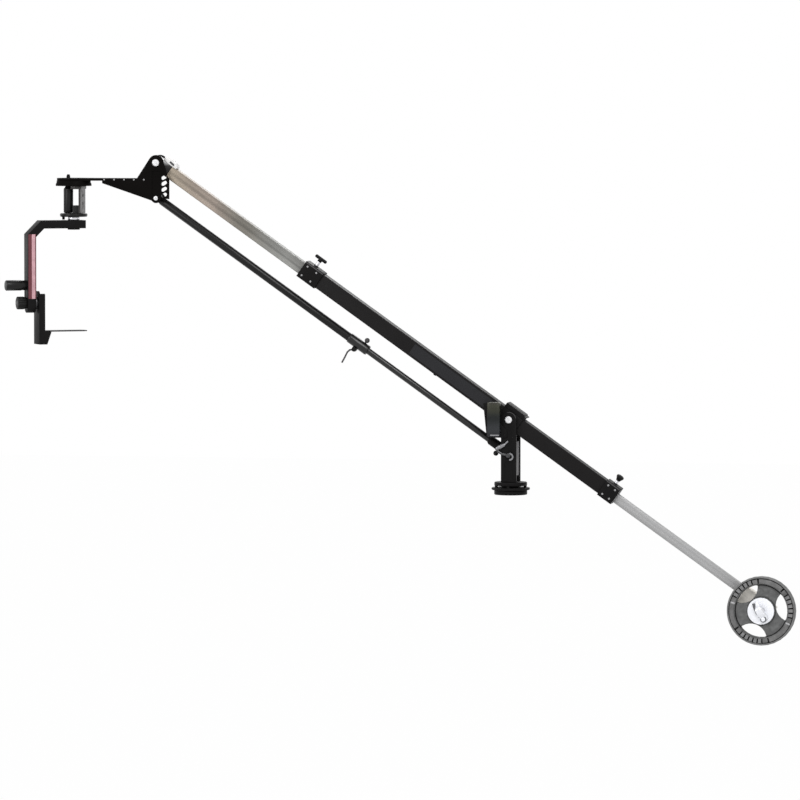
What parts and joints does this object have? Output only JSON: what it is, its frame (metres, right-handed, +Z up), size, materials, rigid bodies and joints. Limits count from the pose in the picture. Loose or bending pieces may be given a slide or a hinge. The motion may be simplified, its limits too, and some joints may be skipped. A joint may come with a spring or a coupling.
{
  "type": "camera jib crane",
  "caption": "Telescoping camera jib with a turning column, levelling rod, levelled front bracket, motorised pan and tilt head and counterweight plate.",
  "frame": {"origin": "centre of the underside of the seat that bolts on a tripod, under the column's pan axis", "axes": "+X towards the counterweight, -X towards the camera head, +Z up along the pan axis, -Y is the side with the counterweight plate and the side box"},
  "size_m": [2.5686, 0.1898, 1.5489],
  "materials": {
    "black_tube": "satin black anodised",
    "black_plate": "satin black anodised",
    "front_silver": "satin anodised, slightly warm",
    "rear_silver": "satin anodised",
    "bright_steel": "bright plated",
    "black_knob": "moulded, matt",
    "motor_black": "satin black",
    "cage_alloy": "satin",
    "box_grey": "satin",
    "plate_iron": "painted, matt"
  },
  "bodies": {
    "base": {"mount_ring": "black_plate", "pan_spindle": "bright_steel", "thrust_bearing": "bright_steel", "spindle_nut": "bright_steel"},
    "column": {"turntable_flange": "black_plate", "turntable_plate": "black_plate", "column_plate_near": "black_plate", "column_plate_far": "black_plate", "column_web": "cage_alloy", "pivot_bolt_near": "bright_steel", "pivot_bolt_far": "bright_steel", "rod_pivot_bolt": "bright_steel", "rod_pivot_nut": "bright_steel", "holder_plate": "black_plate", "side_box": "box_grey"},
    "lock_lever": {"rod_lock_lever": "bright_steel"},
    "boom": {"saddle": "black_plate", "saddle_cap": "black_plate", "outer_tube": "black_tube", "front_clamp": "black_plate", "rear_clamp": "black_plate"},
    "front_knob": {"front_clamp_knob": "black_knob"},
    "rear_knob": {"rear_clamp_knob": "black_knob"},
    "front_boom": {"front_tube": "front_silver", "front_knuckle": "black_plate", "knuckle_strap": "bright_steel"},
    "rear_boom": {"rear_tube": "rear_silver", "rear_block": "black_plate", "weight_bar": "bright_steel"},
    "weight": {"weight_plate": "plate_iron"},
    "collar": {"collar_disc": "bright_steel", "collar_wing": "bright_steel"},
    "rod_rear": {"rod_eye_rear": "black_plate", "rod_tube_rear": "black_tube", "rod_socket": "black_plate"},
    "socket_screw": {"rod_socket_knob": "black_knob"},
    "rod_front": {"rod_tube_front": "black_tube", "rod_eye_front": "black_plate", "rod_collar": "black_plate"},
    "collar_screw": {"rod_collar_knob": "black_knob"},
    "collar_lever": {"rod_collar_lever": "black_knob"},
    "bracket": {"bracket_plate_near": "black_plate", "bracket_plate_far": "black_plate", "bracket_block": "black_plate", "front_pivot_bolt": "bright_steel", "front_pivot_nut": "bright_steel", "rod_front_bolt": "bright_steel", "platform_plate": "black_plate", "head_disc": "black_plate", "cage_plate": "cage_alloy", "pan_motor": "motor_black", "pan_gearbox": "motor_black"},
    "yoke": {"pan_hub": "bright_steel", "l_arm": "black_plate", "tilt_motor": "motor_black"},
    "cradle": {"tilt_knob": "black_knob", "tilt_shaft": "bright_steel", "cradle_upright": "black_plate", "camera_shelf": "black_plate"}
  },
  "joints": [
    {"name": "column_pan", "type": "hinge", "parent": "base", "child": "column", "pos_m": [0, 0, 0.03], "axis": [0, 0, 1], "continuous": true},
    {"name": "boom_tilt", "type": "hinge", "parent": "column", "child": "boom", "pos_m": [0, 0, 0.2415], "axis": [0, 1, 0], "range_deg": [-75, 12]},
    {"name": "front_extension", "type": "slide", "parent": "boom", "child": "front_boom", "axis": [-0.8168, 0, 0.5769], "range_m": [-0.4, 0.05]},
    {"name": "counterweight_extension", "type": "slide", "parent": "boom", "child": "rear_boom", "axis": [0.8168, 0, -0.5769], "range_m": [-0.4, 0.05]},
    {"name": "head_level", "type": "hinge", "parent": "front_boom", "child": "bracket", "pos_m": [-1.15583, 0, 1.05776], "axis": [0, 1, 0], "range_deg": [-12, 75]},
    {"name": "rod_tilt", "type": "hinge", "parent": "column", "child": "rod_rear", "pos_m": [0, 0, 0.1275], "axis": [0, 1, 0], "range_deg": [-75, 12]},
    {"name": "rod_extension", "type": "slide", "parent": "rod_rear", "child": "rod_front", "axis": [-0.8168, 0, 0.5769], "range_m": [-0.4, 0.05]},
    {"name": "head_pan", "type": "hinge", "parent": "bracket", "child": "yoke", "pos_m": [-1.43583, 0, 0.88], "axis": [0, 0, 1], "range_deg": [-175, 175]},
    {"name": "head_tilt", "type": "hinge", "parent": "yoke", "child": "cradle", "pos_m": [-1.43583, 0, 0.60506], "axis": [0.866, 0.5, 0], "range_deg": [-110, 110]},
    {"name": "front_clamp_turn", "type": "hinge", "parent": "boom", "child": "front_knob", "pos_m": [-0.63535, 0, 0.72692], "axis": [0.5769, 0, 0.8168], "range_deg": [0, 180]},
    {"name": "rear_clamp_turn", "type": "hinge", "parent": "boom", "child": "rear_knob", "pos_m": [0.33955, 0, 0.03843], "axis": [0.5769, 0, 0.8168], "range_deg": [0, 180]},
    {"name": "rod_socket_turn", "type": "hinge", "parent": "rod_rear", "child": "socket_screw", "pos_m": [-0.04584, 0, 0.13539], "axis": [0.5769, 0, 0.8168], "range_deg": [0, 180]},
    {"name": "rod_collar_turn", "type": "hinge", "parent": "rod_front", "child": "collar_screw", "pos_m": [-0.47122, 0, 0.48476], "axis": [0.5769, 0, 0.8168], "range_deg": [0, 180]},
    {"name": "rod_collar_lever", "type": "hinge", "parent": "rod_front", "child": "collar_lever", "pos_m": [-0.50986, 0, 0.46125], "axis": [0, 1, 0], "range_deg": [-70, 70]},
    {"name": "rod_lock_lever", "type": "hinge", "parent": "column", "child": "lock_lever", "pos_m": [0, 0, 0.1275], "axis": [0, 1, 0], "range_deg": [-60, 60]},
    {"name": "weight_spin", "type": "hinge", "parent": "rear_boom", "child": "weight", "pos_m": [0.81684, 0, -0.35617], "axis": [0, 1, 0], "continuous": true},
    {"name": "collar_spin", "type": "hinge", "parent": "rear_boom", "child": "collar", "pos_m": [0.81684, 0, -0.35617], "axis": [0, 1, 0], "continuous": true}
  ],
  "couplings": [
    {"joint": "head_level", "follows": "boom_tilt", "ratio": -1},
    {"joint": "rod_tilt", "follows": "boom_tilt", "ratio": 1},
    {"joint": "rod_extension", "follows": "front_extension", "ratio": 1}
  ]
}
